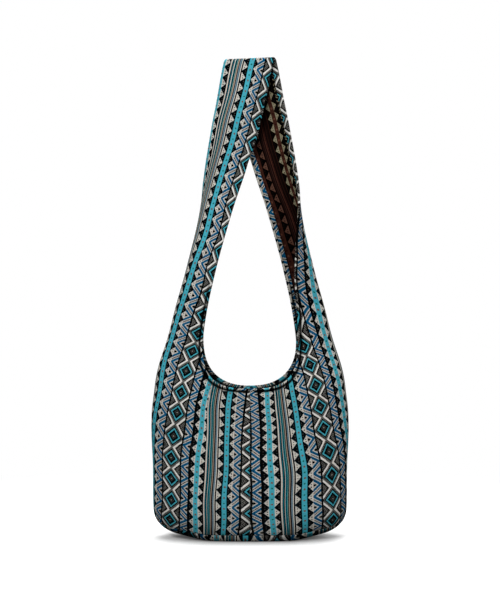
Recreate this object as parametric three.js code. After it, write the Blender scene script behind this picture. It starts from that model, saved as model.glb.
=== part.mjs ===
// A slouchy crossbody bag of woven jacquard, in millimetres, standing on its base with the strap held up.
// Each side is one panel: half the front, one side, half the back and half the strap, cut as one piece.
// The two panels meet in a seam down the front, one down the back and one at the top of the strap.
// An oval base panel closes the bottom. +Z is up, the front faces -Y, and the floor is at z = 0.
import * as THREE from 'three';

// Body
const BAG_WIDTH = 314; // at the belly, the widest place
const FOOT_WIDTH = 307; // just above the bottom corners
const MOUTH_LEVEL_WIDTH = 306; // level with the lowest point of the mouth
const SHOULDER_WIDTH = 267; // where the mouth's edge turns straight up
const FOOT_DEPTH = 107; // front to back, just above the bottom corners
const BELLY_DEPTH = 88;
const MOUTH_DEPTH = 81;
const BELLY_BELOW_MOUTH = 43; // from the belly's height up to the mouth's lowest point
const CORNER_RISE = 48; // height over which the bottom corners round in
const CORNER_INSET = 52; // how far the sides have come in at the floor
const FOOT_TUCK = 11; // how much tighter the sides fold at the floor

// Mouth
const MOUTH_HEIGHT = 240; // lowest point of the scooped edge
const MOUTH_WIDTH = 150; // between the left and right edges at the shoulder
const RIM_RISE = 75; // from the lowest point up to the shoulder
const FRONT_SQUARENESS = 3; // 2 is an ellipse, and more is squarer in the corners
const BACK_SQUARENESS = 2.4;

// Strap
const HEIGHT = 766; // floor to the top of the fold
const STRAP_WIDTH = 77;
const FLARE_LENGTH = 160; // over which the strap widens into the shoulder
const FOLD_RADIUS = 5; // outside radius of the fold at the top
const STRAP_FOOT_OUT = 99; // from the middle of the bag to the strap's centre line at its foot
const STRAP_FOOT_RISE = 50; // from the shoulder up to that foot
const STRAP_BULGE = 4; // how far the strap bows outwards at mid length
const TWIST = THREE.MathUtils.degToRad(76); // how far the strap has turned at the top

// Cloth and seams
const CLOTH = 1.8; // jacquard with its bonded interlining
const ALLOWANCE = 10; // turned in along every edge of a panel: a hem, or the seam's own allowance
const ALLOWANCE_STEP = 1; // width of the step from double cloth down to single
const SEAM_GAP = 0.3; // between two pieces that a seam holds together
const BASE_SEAM_FRONT = 10; // height of the base seam at the middle of the front and back
const BASE_SEAM_SIDE = 22; // height of the base seam at the sides, where the base turns up further

// How finely the curved faces are divided
const SIMPSON_STEPS = 24;
const BODY_ROWS = 5;
const RIM_ROWS = 8;
const STRAP_ROWS = 13;
const FOLD_ROWS = 3;
const HALF_COLUMNS = 9; // from an allowance's inner edge to the middle of a panel
const COLUMN_CROWDING = 1.4; // above 1 the columns stand closer towards that middle
const BASE_RISE_ROWS = 3;

const SHOULDER_HEIGHT = MOUTH_HEIGHT + RIM_RISE;
const FOLD_START = HEIGHT - FOLD_RADIUS;
const TOP = FOLD_START + (FOLD_RADIUS * Math.PI) / 2; // along the cloth, at the middle of the fold
const STRAP_LENGTH = FOLD_START - SHOULDER_HEIGHT;

function alongStrap(share) {
  return SHOULDER_HEIGHT + share * STRAP_LENGTH;
}

function integrate(f, length) {
  const step = length / SIMPSON_STEPS;
  let sum = f(0) + f(length);
  for (let i = 1; i < SIMPSON_STEPS; i += 1) {
    sum += f(i * step) * (i % 2 ? 4 : 2);
  }
  return (sum * step) / 3;
}

// A level section through a panel is a curve that leaves the middle of the side square to the side and then
// turns: fast within about one round, and ever slower towards its limit, the turn.
function bend(ratio) {
  return ratio / Math.hypot(1, ratio);
}

function cameIn(span, round, turn) {
  return integrate((s) => Math.sin(turn * bend(s / round)), span);
}

function wentAcross(span, round, turn) {
  return integrate((s) => Math.cos(turn * bend(s / round)), span);
}

// The value between low and high at which a falling function reaches zero.
function rootOfFalling(f, low, high) {
  let [a, b] = [low, high];
  for (let i = 0; i < 50; i += 1) {
    const middle = (a + b) / 2;
    if (f(middle) > 0) {
      a = middle;
    } else {
      b = middle;
    }
  }
  return (a + b) / 2;
}

// On the body the section runs square into the middle of the front, at half the bag's depth.
const SPAN_PER_ROUND = 0.42; // how much longer than its reach a body section is, in rounds

function squareTurn(reach, round) {
  return Math.PI / 2 / bend(reach / round + SPAN_PER_ROUND);
}

function bodyStation(height, width, depth) {
  const reach = width / 2;
  const short = (round) =>
    depth / 2 - wentAcross(reach + SPAN_PER_ROUND * round, round, squareTurn(reach, round));
  const round = rootOfFalling(short, 1, reach);
  return { height, reach, round, turn: squareTurn(reach, round) };
}

// On the strap the section opens out on its way up, from a deep fold to flat cloth.
function strapStation(share, round, turnDegrees, bulge = 0) {
  const height = alongStrap(share);
  const turn = THREE.MathUtils.degToRad(turnDegrees);
  const foot = SHOULDER_HEIGHT + STRAP_FOOT_RISE;
  const out = (STRAP_FOOT_OUT * (TOP - height)) / (TOP - foot);
  return { height, reach: out + bulge + middleOut(strapSpan(height), round, turn), round, turn };
}

// How far the middle of a section stands out from the section's centre.
function middleOut(span, round, turn) {
  return integrate((s) => cameIn(s, round, turn), span) / span;
}

const SHOULDER_ROUND = 28.5;
const SHOULDER = {
  height: SHOULDER_HEIGHT,
  reach: SHOULDER_WIDTH / 2,
  round: SHOULDER_ROUND,
  turn: squareTurn(SHOULDER_WIDTH / 2, SHOULDER_ROUND),
};
const SHOULDER_SPAN = rootOfFalling(
  (span) => SHOULDER.reach - cameIn(span, SHOULDER.round, SHOULDER.turn) - MOUTH_WIDTH / 2,
  0,
  BAG_WIDTH,
);

// Half the width of the cloth above the shoulder, from its middle line to its edge.
function strapSpan(height) {
  const flare = Math.exp((SHOULDER_HEIGHT - height) / FLARE_LENGTH);
  return STRAP_WIDTH / 2 + (SHOULDER_SPAN - STRAP_WIDTH / 2) * flare;
}

const STATIONS = [
  bodyStation(CORNER_RISE, FOOT_WIDTH, FOOT_DEPTH),
  bodyStation(MOUTH_HEIGHT - BELLY_BELOW_MOUTH, BAG_WIDTH, BELLY_DEPTH),
  bodyStation(MOUTH_HEIGHT, MOUTH_LEVEL_WIDTH, MOUTH_DEPTH),
  SHOULDER,
  strapStation(0.19, 29, 84, STRAP_BULGE / 2),
  strapStation(0.33, 29, 76, STRAP_BULGE),
  strapStation(0.48, 34, 64, STRAP_BULGE),
  strapStation(0.62, 40, 55),
  strapStation(0.83, 43, 44),
  strapStation(1, 46, 0),
];

// Follows one value through the stations as a smooth curve that never overshoots them.
function follow(key, height) {
  const last = STATIONS.length - 2;
  const above = STATIONS.findIndex((station) => station.height > height);
  const i = above < 0 ? last : Math.max(above - 1, 0);
  const gap = (k) => STATIONS[k + 1].height - STATIONS[k].height;
  const slope = (k) => (STATIONS[k + 1][key] - STATIONS[k][key]) / gap(k);
  const tangent = (k) => {
    if (k === 0 || k > last) {
      return slope(Math.min(k, last));
    }
    const [before, after] = [slope(k - 1), slope(k)];
    if (before * after <= 0) {
      return 0;
    }
    const [wBefore, wAfter] = [2 * gap(k) + gap(k - 1), gap(k) + 2 * gap(k - 1)];
    return (wBefore + wAfter) / (wBefore / before + wAfter / after);
  };
  const t = THREE.MathUtils.clamp((height - STATIONS[i].height) / gap(i), 0, 1);
  const [from, to] = [STATIONS[i][key], STATIONS[i + 1][key]];
  const [inT, outT] = [tangent(i) * gap(i), tangent(i + 1) * gap(i)];
  const rise = t * t * (3 - 2 * t);
  return from + (to - from) * rise + t * (1 - t) * ((1 - t) * inT - t * outT);
}

// 1 at the floor, falling along a quarter circle to 0 where the bottom corners end.
function cornerAt(height) {
  const below = THREE.MathUtils.clamp(1 - height / CORNER_RISE, 0, 1);
  return 1 - Math.sqrt(1 - below * below);
}

function sectionAt(height) {
  const corner = cornerAt(height);
  return {
    reach: follow('reach', height) - CORNER_INSET * corner,
    round: follow('round', height) - FOOT_TUCK * corner,
    turn: follow('turn', height),
  };
}

// Half the width of the cloth where the section comes in to a given distance from the middle of the bag.
function spanTo(distance, height) {
  const { reach, round, turn } = sectionAt(height);
  return rootOfFalling((span) => reach - cameIn(span, round, turn) - distance, 0, BAG_WIDTH);
}

const smooth = THREE.MathUtils.smoothstep;
const TWIST_START = alongStrap(-0.067);
const TWIST_END = alongStrap(0.9);
const FOLD_RAMP_START = alongStrap(0.37);

// A point of the left panel's outside: span is the distance along the cloth from the middle of its side,
// negative to the front, and along is the height, carried on over the fold at the top of the strap.
function place(span, along) {
  const height = Math.min(along, FOLD_START);
  const { reach, round, turn } = sectionAt(height);
  const centre = middleOut(strapSpan(Math.max(height, SHOULDER_HEIGHT)), round, turn);
  const local = new THREE.Vector2(
    cameIn(Math.abs(span), round, turn) - centre,
    Math.sign(span) * wentAcross(Math.abs(span), round, turn),
  );
  const twist = TWIST * smooth(height, TWIST_START, TWIST_END);
  local.rotateAround(new THREE.Vector2(), twist);
  const over = (along - height) / FOLD_RADIUS;
  const lean = STRAP_FOOT_OUT / (TOP - SHOULDER_HEIGHT - STRAP_FOOT_RISE);
  const forward = FOLD_RADIUS * smooth(height, FOLD_RAMP_START, FOLD_START) * Math.cos(over);
  return new THREE.Vector3(
    centre - reach + local.x + lean * (along - height) - forward * Math.cos(twist),
    local.y - forward * Math.sin(twist),
    height + FOLD_RADIUS * Math.sin(over),
  );
}

// The same point moved inwards, square to the cloth.
const PROBE = 0.05; // half the distance over which the cloth's slope is measured

function placeInside(span, along, depth) {
  const across = place(span + PROBE, along).sub(place(span - PROBE, along));
  const up = place(span, along + PROBE).sub(place(span, along - PROBE));
  return place(span, along).addScaledVector(across.cross(up).normalize(), depth);
}

// One edge point of a panel, with the direction of the line that crosses the cloth from it: tilt is how far
// below level that line starts, and it is mitred near the corner where the centre seam meets the mouth.
const MITRE = 2 * ALLOWANCE;
const CORNER_TILT = Math.PI / 4;
const RIM_PROBE = 0.01; // half the angle over which the rim's slope is measured

function seamEdge(along) {
  const tilt = CORNER_TILT * Math.max(0, 1 - (MOUTH_HEIGHT - along) / MITRE);
  return { span: spanTo(SEAM_GAP / 2, along), along, tilt, own: 0 };
}

function rimEdge(angle, squareness) {
  const power = 2 / squareness;
  const point = (a) => {
    const along = MOUTH_HEIGHT + RIM_RISE * (1 - Math.cos(a) ** power);
    return [spanTo(Math.max(SEAM_GAP / 2, (MOUTH_WIDTH / 2) * Math.sin(a) ** power), along), along];
  };
  const [span, along] = point(angle);
  const [before, after] = [point(angle - RIM_PROBE), point(Math.min(angle + RIM_PROBE, Math.PI / 2))];
  const own = Math.atan2(before[0] - after[0], after[1] - before[1]);
  const fromCorner = (MOUTH_WIDTH / 2) * Math.sin(angle) ** power;
  const tilt = CORNER_TILT + (own - CORNER_TILT) * Math.min(1, fromCorner / MITRE);
  return { span, along, tilt, own };
}

function strapEdge(along) {
  return { span: strapSpan(along), along, tilt: 0, own: 0 };
}

// Each row crosses a panel from its front edge to its back edge. double marks a row of turned-in cloth.
function panelRows(frontSquareness, backSquareness) {
  const rows = [];
  const addSeamRow = (rise, double) => {
    const share = rise / (MOUTH_HEIGHT - BASE_SEAM_FRONT);
    const edge = seamEdge(BASE_SEAM_FRONT + rise);
    const middle = BASE_SEAM_SIDE + share * (MOUTH_HEIGHT - BASE_SEAM_SIDE);
    rows.push({ front: edge, back: edge, middle, double });
  };
  addSeamRow(SEAM_GAP / 2, true);
  addSeamRow(ALLOWANCE, true);
  addSeamRow(ALLOWANCE + ALLOWANCE_STEP, false);
  const wall = MOUTH_HEIGHT - BASE_SEAM_FRONT;
  for (let i = 1; i <= BODY_ROWS; i += 1) {
    addSeamRow(ALLOWANCE + ALLOWANCE_STEP + ((wall - ALLOWANCE - ALLOWANCE_STEP) * i) / BODY_ROWS, false);
  }
  for (let i = 1; i <= RIM_ROWS; i += 1) {
    const angle = (Math.PI / 2) * (i / RIM_ROWS);
    rows.push({
      front: rimEdge(angle, frontSquareness),
      back: rimEdge(angle, backSquareness),
      middle: MOUTH_HEIGHT + (RIM_RISE * i) / RIM_ROWS,
      double: false,
    });
  }
  const addStrapRow = (along, double) => {
    rows.push({ front: strapEdge(along), back: strapEdge(along), middle: along, double });
  };
  const single = TOP - ALLOWANCE - ALLOWANCE_STEP;
  for (let i = 1; i <= STRAP_ROWS; i += 1) {
    addStrapRow(SHOULDER_HEIGHT + ((single - SHOULDER_HEIGHT) * i) / STRAP_ROWS, false);
  }
  addStrapRow(single + ALLOWANCE_STEP, true);
  const foldLow = Math.max(FOLD_START, single + 2 * ALLOWANCE_STEP);
  for (let i = 0; i <= FOLD_ROWS; i += 1) {
    addStrapRow(foldLow + ((TOP - SEAM_GAP / 2 - foldLow) * i) / FOLD_ROWS, true);
  }
  return rows;
}

// The points along one half of a row, from its edge to the middle of the side: first across the turned-in
// allowance, then on a curve that levels out at the middle. Each is [span, along, whether double].
const LEVELLING = 1.5;

function halfRow(edge, middle, double) {
  const reachOf = (depth) => depth / Math.cos(edge.own - edge.tilt);
  const points = [0, ALLOWANCE, ALLOWANCE + ALLOWANCE_STEP].map((depth, i) => [
    edge.span - reachOf(depth) * Math.cos(edge.tilt),
    edge.along - reachOf(depth) * Math.sin(edge.tilt),
    double || i < 2,
  ]);
  const [startSpan, startAlong] = points[2];
  for (let i = 1; i <= HALF_COLUMNS; i += 1) {
    const left = (1 - i / HALF_COLUMNS) ** COLUMN_CROWDING;
    points.push([startSpan * left, middle + (startAlong - middle) * left ** LEVELLING, double]);
  }
  return points;
}

function fullRow(row) {
  const front = halfRow(row.front, row.middle, row.double).map(([span, along, double]) => [
    -span,
    along,
    double,
  ]);
  const back = halfRow(row.back, row.middle, row.double).slice(0, -1).reverse();
  return front.concat(back);
}

function solid(points, triangles) {
  const geometry = new THREE.BufferGeometry();
  geometry.setAttribute(
    'position',
    new THREE.Float32BufferAttribute(points.flatMap((p) => p.toArray()), 3),
  );
  geometry.setIndex(triangles.flat());
  geometry.computeVertexNormals();
  return geometry;
}

function quad(a, b, c, d) {
  return [
    [a, b, c],
    [a, c, d],
  ];
}

// A closed sheet: its outside and inside as grids of rows, joined by a narrow wall round the edge.
function sheetSolid(grid) {
  const [height, width] = [grid.length, grid[0].length];
  const outside = grid.flat().map(([span, along]) => place(span, along));
  const inside = grid
    .flat()
    .map(([span, along, double]) => placeInside(span, along, double ? 2 * CLOTH : CLOTH));
  const at = (row, column) => row * width + column;
  const within = outside.length;
  const triangles = [];
  for (let r = 0; r + 1 < height; r += 1) {
    for (let c = 0; c + 1 < width; c += 1) {
      const corners = [at(r, c), at(r + 1, c), at(r + 1, c + 1), at(r, c + 1)];
      triangles.push(...quad(...corners));
      triangles.push(...quad(...corners.reverse().map((i) => i + within)));
    }
  }
  const border = [];
  for (let c = 0; c + 1 < width; c += 1) {
    border.push([at(0, c), at(0, c + 1)], [at(height - 1, c + 1), at(height - 1, c)]);
  }
  for (let r = 0; r + 1 < height; r += 1) {
    border.push([at(r + 1, 0), at(r, 0)], [at(r, width - 1), at(r + 1, width - 1)]);
  }
  border.forEach(([a, b]) => triangles.push(...quad(a, b, b + within, a + within)));
  return solid([...outside, ...inside], triangles);
}

// The base is a shallow dish: it continues the panels' curve from the seam down to the floor, where it is flat.
function baseRing(seamRow, drop) {
  return seamRow.map(([span, along]) => {
    const seam = along - SEAM_GAP;
    const height = seam * (1 - drop);
    return [(span * spanTo(0, height)) / spanTo(SEAM_GAP / 2, seam), height];
  });
}

function halfTurn(point) {
  return new THREE.Vector3(-point.x, -point.y, point.z);
}

function baseSolid(seamRow) {
  const rings = { outside: [], inside: [] };
  // A ring is half the way round, brought exactly to the centre plane at its two ends, and the same turned.
  const addRing = (ring, half) => {
    [half[0], half.at(-1)].forEach((end) => end.setX(0));
    const open = half.slice(0, -1);
    ring.push(open.concat(open.map(halfTurn)));
  };
  for (let i = 0; i <= BASE_RISE_ROWS; i += 1) {
    const ring = baseRing(seamRow, i / BASE_RISE_ROWS);
    addRing(rings.outside, ring.map(([span, along]) => place(span, along)));
    addRing(rings.inside, ring.map(([span, along]) => placeInside(span, along, CLOTH)));
  }
  rings.outside.at(-1).forEach((p) => p.setZ(0));
  rings.inside.at(-1).forEach((p) => p.setZ(CLOTH));
  const count = rings.outside[0].length;
  const points = [...rings.outside.flat(), ...rings.inside.flat()];
  const within = rings.outside.length * count;
  const [floorMiddle, insideMiddle] = [points.length, points.length + 1];
  points.push(new THREE.Vector3(0, 0, 0), new THREE.Vector3(0, 0, CLOTH));
  const triangles = [];
  for (let c = 0; c < count; c += 1) {
    const next = (c + 1) % count;
    for (let r = 0; r < BASE_RISE_ROWS; r += 1) {
      const corners = [r * count + c, r * count + next, (r + 1) * count + next, (r + 1) * count + c];
      triangles.push(...quad(...corners));
      triangles.push(...quad(...corners.reverse().map((i) => i + within)));
    }
    const floor = BASE_RISE_ROWS * count;
    triangles.push([floor + c, floor + next, floorMiddle]);
    triangles.push([floor + next + within, floor + c + within, insideMiddle]);
    triangles.push(...quad(next, c, c + within, next + within));
  }
  return solid(points, triangles);
}

function piece(name, geometry, colour) {
  const material = new THREE.MeshStandardMaterial({ color: colour, roughness: 0.9, metalness: 0 });
  const mesh = new THREE.Mesh(geometry, material);
  mesh.name = name;
  return mesh;
}

// The right panel is cut like the left one and turned half round, so its front edge is the left one's back.
const leftRows = panelRows(FRONT_SQUARENESS, BACK_SQUARENESS).map(fullRow);
const rightRows = panelRows(BACK_SQUARENESS, FRONT_SQUARENESS).map(fullRow);

const bag = new THREE.Group();
bag.add(piece('left_panel', sheetSolid(leftRows), 0x4f6067));
const rightPanel = piece('right_panel', sheetSolid(rightRows), 0x556a70);
rightPanel.rotation.z = Math.PI;
bag.add(rightPanel);
bag.add(piece('base_panel', baseSolid(leftRows[0]), 0x46545a));

export default bag;
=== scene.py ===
# A slouchy crossbody bag of woven jacquard: two panels, each half the body and half the strap, and an oval
# base. Lengths are in millimetres up to the meshes, which are in metres in the frame of the CAD model.
import bpy
import numpy as np
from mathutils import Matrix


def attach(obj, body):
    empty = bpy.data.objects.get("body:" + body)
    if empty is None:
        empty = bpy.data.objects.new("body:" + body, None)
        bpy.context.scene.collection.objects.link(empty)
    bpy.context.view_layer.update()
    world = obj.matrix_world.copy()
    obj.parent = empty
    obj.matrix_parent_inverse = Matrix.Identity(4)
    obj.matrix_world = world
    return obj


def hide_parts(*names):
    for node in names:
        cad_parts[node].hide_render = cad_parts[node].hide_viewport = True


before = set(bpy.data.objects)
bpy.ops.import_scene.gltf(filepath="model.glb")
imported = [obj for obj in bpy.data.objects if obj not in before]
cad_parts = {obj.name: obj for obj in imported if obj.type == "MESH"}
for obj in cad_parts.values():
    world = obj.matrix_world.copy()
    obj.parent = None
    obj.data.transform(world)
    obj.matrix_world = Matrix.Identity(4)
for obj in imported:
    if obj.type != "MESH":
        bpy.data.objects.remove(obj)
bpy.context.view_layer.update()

# Left panel. One cut of heavy cotton jacquard makes half the front, the left side, half the back and half
# the strap. The weave is bands of triangles, lines, zigzags and diamonds, and its back is rust and olive.
# Every edge is turned in by a seam allowance or a hem, and the strap turns over on its way up to its join.
THREAD = 0.7
REPEAT_ACROSS, REPEAT_ALONG = 134.1, 34.7
# The bands: the place of each one's middle across the repeat, and half its width.
DIAMONDS, ZIGZAG_LEFT, TRIANGLES_LEFT = 18.4, 42.8, 63.25
LINES, TRIANGLES_RIGHT, ZIGZAG_RIGHT = 86.0, 109.15, 128.1
HALF_DIAMONDS, HALF_ZIGZAG, HALF_TRIANGLES, HALF_LINES = 16.5, 6.0, 12.7, 10.2
# Triangles: their stripe, how much the beige ones lose to the black ones, their dots, the stripe's rings.
HALF_TEAL_LEFT, HALF_TEAL_RIGHT, TRIANGLE_HEIGHT, BEIGE_LOSS = 3.9, 4.1, 8.4, 0.45
DOT_OUT_STANDING, DOT_OUT_HANGING, DOT_ASIDE, HALF_DOT, HALF_OUTLINE = 2.6, 5.8, 1.9, 0.8, 0.75
RING_BELOW_PEAK, RING_RADIUS, KNOT_RADIUS = 3.1, 1.7, 1.4
# Zigzags: how steep they are, how deep the nest of chevrons is, its lines' stitches, the dashes in the turns.
ZIGZAG_SLOPE, ZIGZAG_EASE, NEST_DEPTH = 0.75, 1, 14
STITCH, HALF_STITCH, HALF_BLACK_LINE, BLUE_LINE, HALF_BLUE_LINE = 2.1, 0.45, 1.2, 4.9, 0.9
HALF_DASH, DASH_FROM = 1.5, 9.2
# Diamonds: the flecks on their grey grounds, which are given as shares of the girth, middle and half width.
FLECK_STEP, FLECK_WIDTH = 3.4, 1.5
FLECKED_GROUNDS = ((0.46, 0.06), (0.84, 0.09))
DIAMONDS_WITHIN = 0.95
# Weave: yarn's unevenness and scale, the ribs, and painted shade between ribs, in a groove and near cloth or
# floor.
YARN_PER_MM, YARN_DETAIL, SHADE_LEAST, SHADE_YARN, SHADE_RIBS = 0.45, 3, 0.5, 0.7, 0.2
GROOVE_SHADE, PAINTED_OCCLUSION_REACH_M = 0.95, 0.09
RIB_STRENGTH, RIB_HEIGHT_M = 0.4, 0.0004
PAINTED_OCCLUSION_RIGHT, PAINTED_OCCLUSION_REVERSE = 0.4, 1.1

RIGHT_SIDE = {
    "black": "#030404", "beige": "#C8C4BA", "beige_right": "#C8C4BA", "border": "#C8C4BA",
    "teal": "#46A7B9", "blue": "#0D5880", "pale": "#DEDDD8", "grey": "#6A6965", "mid": "#8C8982",
    "rust": "#6C5A4F", "tan": "#A08B79", "brown": "#15100E", "sea": "#1B6A5C", "outline": "#08202E",
    "slate": "#6F8696", "deep": "#0E5B69", "mint": "#66B4B6", "speck": "#0A1218", "dot": "#42413E",
    "navy": "#082F4C",
}
REVERSE_SIDE = {
    "black": "#040303", "beige": "#9A9377", "beige_right": "#66463A", "border": "#2C1813",
    "teal": "#44261E", "blue": "#0A0807", "pale": "#2A251E", "grey": "#15100D", "mid": "#3A2E26",
    "rust": "#6E4536", "tan": "#4A2A22", "brown": "#0B0605", "sea": "#260F0C", "outline": "#0A0504",
    "slate": "#3A2420", "deep": "#1C110E", "mint": "#4A2822", "speck": "#0E0906", "dot": "#1E1511",
    "navy": "#080605",
}


def linear(colour):
    """An sRGB hex colour as linear red, green, blue and alpha."""
    level = np.array([int(colour[i:i + 2], 16) for i in (1, 3, 5)]) / 255
    return (*np.where(level <= 0.04045, level / 12.92, ((level + 0.055) / 1.055) ** 2.4), 1.0)


def node(tree, kind, *inputs, out=0, stops=None, **settings):
    """Adds one node and returns one of its outputs. Inputs are values or links for the sockets in order, or
    one dict by socket. A kind such as Math.ADD names an operation too, and stops are a ramp's places and
    colours."""
    kind, _, operation = kind.partition(".")
    made = tree.nodes.new("ShaderNode" + kind)
    if operation:
        made.operation = operation
    for name, value in settings.items():
        setattr(made, name, value)
    sockets = inputs[0] if inputs and isinstance(inputs[0], dict) else dict(enumerate(inputs))
    for socket, value in sockets.items():
        if isinstance(value, bpy.types.NodeSocket):
            tree.links.new(value, made.inputs[socket])
        else:
            made.inputs[socket].default_value = value
    if stops:
        made.color_ramp.interpolation = "CONSTANT"
        while len(made.color_ramp.elements) < len(stops):
            made.color_ramp.elements.new(1)
        for element, (position, colour) in zip(made.color_ramp.elements, stops):
            element.position, element.color = position, colour
    return made.outputs[out] if made.outputs else None


# Cotton jacquard from the loom: matt, with a fine ribbed grain, hard edges between its colours in steps of a
# thread, and no shine. Every float of coloured yarn on the right side shows another colour on the reverse.
def jacquard(name, colours, painted_occlusion):
    """The woven cloth, drawn from its flat coordinates in metres: across the bands, and along them from the
    middle of a diamond. Every band is worked out from distances to its own lines, in steps of one thread.
    The attribute of the dart and the painted groove shade gives the painted shade at a point in a stitched
    groove or a dart's crease, how far past the dart it lies, and what the dart takes in. The painted
    occlusion is how strongly
    cloth or floor close by darkens it: painted shade from ambient occlusion."""
    dye = {key: linear(value) for key, value in colours.items()}
    material = bpy.data.materials.new(name)
    material.use_nodes = True
    tree = material.node_tree
    tree.nodes.clear()
    flat = node(tree, "VectorMath.SCALE", {0: node(tree, "UVMap", uv_map="cloth"), "Scale": 1000})
    raw_across = node(tree, "SeparateXYZ", flat)
    raw_along = raw_across.node.outputs[1]
    painted_groove_shade = node(tree, "SeparateXYZ", node(tree, "Attribute", attribute_name="dart_and_groove_shade", out="Vector"))
    past_dart = node(tree, "Math.GREATER_THAN", painted_groove_shade.node.outputs[1], 0)
    raw_across = node(tree, "Math.MULTIPLY_ADD", past_dart, painted_groove_shade.node.outputs[2], raw_across)
    across = node(tree, "Math.WRAP", node(tree, "Math.SNAP", raw_across, THREAD), REPEAT_ACROSS, 0)
    along = node(tree, "Math.SNAP", raw_along, THREAD)
    half = REPEAT_ALONG / 2
    quarter = REPEAT_ALONG / 4

    def paint(colour, *layers):
        """Lays each layer's colour over the ones before it, where its mask is 1."""
        for mask, over in layers:
            colour = node(tree, "Mix", {0: mask, 6: colour, 7: over}, out=2, data_type="RGBA")
        return colour

    def within(value, *places):
        """1 where the value lies within half a width of any of the places, given as middle and half width."""
        found = [node(tree, "Math.COMPARE", value, middle, half_width) for middle, half_width in places]
        return found[0] if len(found) == 1 else node(tree, "Math.MAXIMUM", *found)

    # Triangles either side of a teal stripe: beige ones stand on the left stripe, black ones on the right.
    # Each has two dots, and the stripe has a row of rings and knots.
    on_right = node(tree, "Math.GREATER_THAN", across, LINES)
    centre = node(tree, "Math.MULTIPLY_ADD", on_right, TRIANGLES_RIGHT - TRIANGLES_LEFT, TRIANGLES_LEFT)
    from_stripe = node(tree, "Math.ABSOLUTE", node(tree, "Math.SUBTRACT", across, centre))
    half_teal = node(tree, "Math.MULTIPLY_ADD", on_right, HALF_TEAL_RIGHT - HALF_TEAL_LEFT, HALF_TEAL_LEFT)
    outward = node(tree, "Math.SUBTRACT", from_stripe, half_teal)
    turn = node(tree, "Math.WRAP", node(tree, "Math.MULTIPLY_ADD", on_right, quarter, along), half, 0)
    from_peak = node(tree, "Math.ABSOLUTE", node(tree, "Math.SUBTRACT", turn, quarter))
    side = node(tree, "Math.MULTIPLY_ADD", outward, -quarter / TRIANGLE_HEIGHT, quarter - BEIGE_LOSS)
    side = node(tree, "Math.MULTIPLY_ADD", on_right, 2 * BEIGE_LOSS, side)
    inside = node(tree, "Math.LESS_THAN", from_peak, side)
    pale = node(tree, "Math.ABSOLUTE", node(tree, "Math.SUBTRACT", inside, on_right))
    own_level = node(tree, "Math.MULTIPLY_ADD", inside, -quarter, quarter)
    from_own = node(tree, "Math.ABSOLUTE", node(tree, "Math.SUBTRACT", own_level, from_peak))
    dot_out = node(tree, "Math.MULTIPLY_ADD", inside, DOT_OUT_STANDING - DOT_OUT_HANGING, DOT_OUT_HANGING)
    dots = node(tree, "Math.MULTIPLY", within(from_own, (DOT_ASIDE, HALF_DOT)),
                within(outward, (dot_out, HALF_DOT)))
    edge = within(from_peak, (side, HALF_OUTLINE))
    in_stripe = node(tree, "Math.LESS_THAN", outward, 0)
    ring_turn = node(tree, "Math.WRAP", node(tree, "Math.ADD", along, RING_BELOW_PEAK), half, 0)
    from_ring = node(tree, "Math.SUBTRACT", ring_turn, quarter)
    to_ring = node(tree, "VectorMath.LENGTH", node(tree, "CombineXYZ", from_stripe, from_ring), out=1)
    ring = node(tree, "Math.LESS_THAN", to_ring, RING_RADIUS)
    from_knot = node(tree, "Math.SUBTRACT", quarter, node(tree, "Math.ABSOLUTE", from_ring))
    to_knot = node(tree, "VectorMath.LENGTH", node(tree, "CombineXYZ", from_stripe, from_knot), out=1)
    knot = node(tree, "Math.LESS_THAN", to_knot, KNOT_RADIUS)
    light = paint(dye["beige"], (on_right, dye["beige_right"]))
    speck = paint(dye["dot"], (pale, dye["speck"]))
    triangles = paint(dye["black"], (pale, light), (edge, dye["outline"]), (dots, speck),
                      (in_stripe, dye["teal"]), (ring, dye["rust"]), (knot, dye["sea"]))

    # Fine lengthwise lines between the two stripes, at shares of their band's width.
    line_place = node(tree, "Math.MULTIPLY_ADD", across, 0.5 / HALF_LINES, 0.5 - LINES * 0.5 / HALF_LINES)
    line_order = [(0, "border"), (0.09, "black"), (0.15, "deep"), (0.22, "black"), (0.27, "border"),
                  (0.33, "deep"), (0.41, "black"), (0.46, "mint"), (0.50, "black"), (0.55, "tan"),
                  (0.64, "brown"), (0.71, "slate"), (0.78, "deep"), (0.84, "border"), (0.91, "black")]
    lines = node(tree, "ValToRGB", line_place, stops=[(at, dye[key]) for at, key in line_order])

    # Zigzag: slanting stripes that swing from side to side, with a blue chevron in each turn of them.
    far_right = node(tree, "Math.GREATER_THAN", across, ZIGZAG_RIGHT - HALF_ZIGZAG - ZIGZAG_EASE)
    zig_centre = node(tree, "Math.MULTIPLY_ADD", far_right, ZIGZAG_RIGHT - ZIGZAG_LEFT, ZIGZAG_LEFT)
    zig_shift = node(tree, "Math.MULTIPLY_ADD", far_right, half, half - quarter)
    swing = node(tree, "Math.WRAP", node(tree, "Math.ADD", along, zig_shift), REPEAT_ALONG, 0)
    from_tip = node(tree, "Math.ABSOLUTE", node(tree, "Math.SUBTRACT", swing, half))
    off_centre = node(tree, "Math.SUBTRACT", across, zig_centre)
    slant = node(tree, "Math.MULTIPLY_ADD", off_centre, ZIGZAG_SLOPE, -quarter)
    off_line = node(tree, "Math.ABSOLUTE", node(tree, "Math.ADD", from_tip, slant))
    nest = node(tree, "Math.DIVIDE", off_line, NEST_DEPTH)
    nest_order = [(0, "black"), (0.085, "beige"), (0.18, "blue"), (0.52, "beige"), (0.63, "mid")]
    zigzag = node(tree, "ValToRGB", nest, stops=[(at, dye[key]) for at, key in nest_order])
    stitch = within(node(tree, "Math.WRAP", off_centre, STITCH, 0), (STITCH / 2, HALF_STITCH))
    in_line = node(tree, "Math.MULTIPLY", stitch, node(tree, "Math.LESS_THAN", off_line, HALF_BLACK_LINE))
    in_blue = node(tree, "Math.MULTIPLY", stitch, within(off_line, (BLUE_LINE, HALF_BLUE_LINE)))
    level = node(tree, "Math.PINGPONG", from_tip, quarter)
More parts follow.
